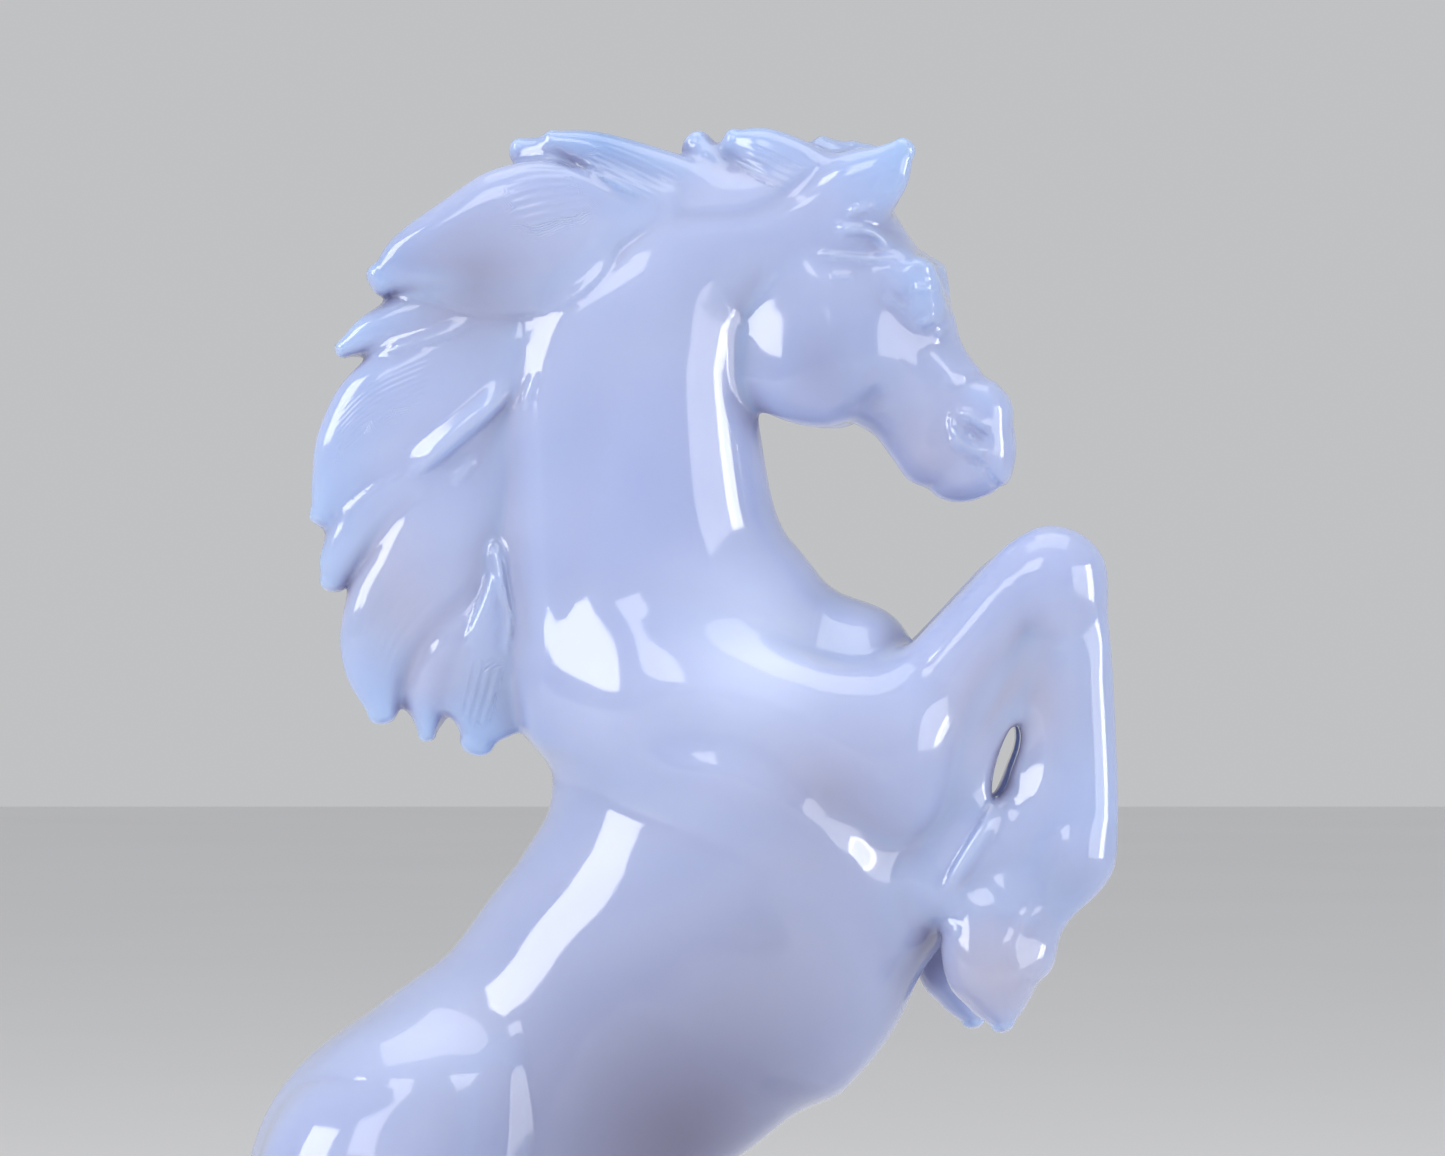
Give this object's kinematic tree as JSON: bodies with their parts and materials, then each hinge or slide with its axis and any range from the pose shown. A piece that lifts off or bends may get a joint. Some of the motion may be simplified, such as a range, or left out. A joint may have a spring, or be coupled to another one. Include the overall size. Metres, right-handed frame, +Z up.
{
  "type": "chalcedony horse carving",
  "caption": "Rearing horse with a flowing mane, carved as one piece of pale blue stone, standing on its hind legs and tail on a low flat base.",
  "frame": {"origin": "on the flat underside, at the middle of the base", "axes": "+Z up, +X the way the horse faces, +Y to the horse's left"},
  "size_m": [0.0798, 0.046, 0.1459],
  "materials": {
    "chalcedony": "polished, slightly translucent pale blue chalcedony with soft cloudy bands"
  },
  "bodies": {
    "root": {"horse_carving": "chalcedony"}
  },
  "joints": []
}
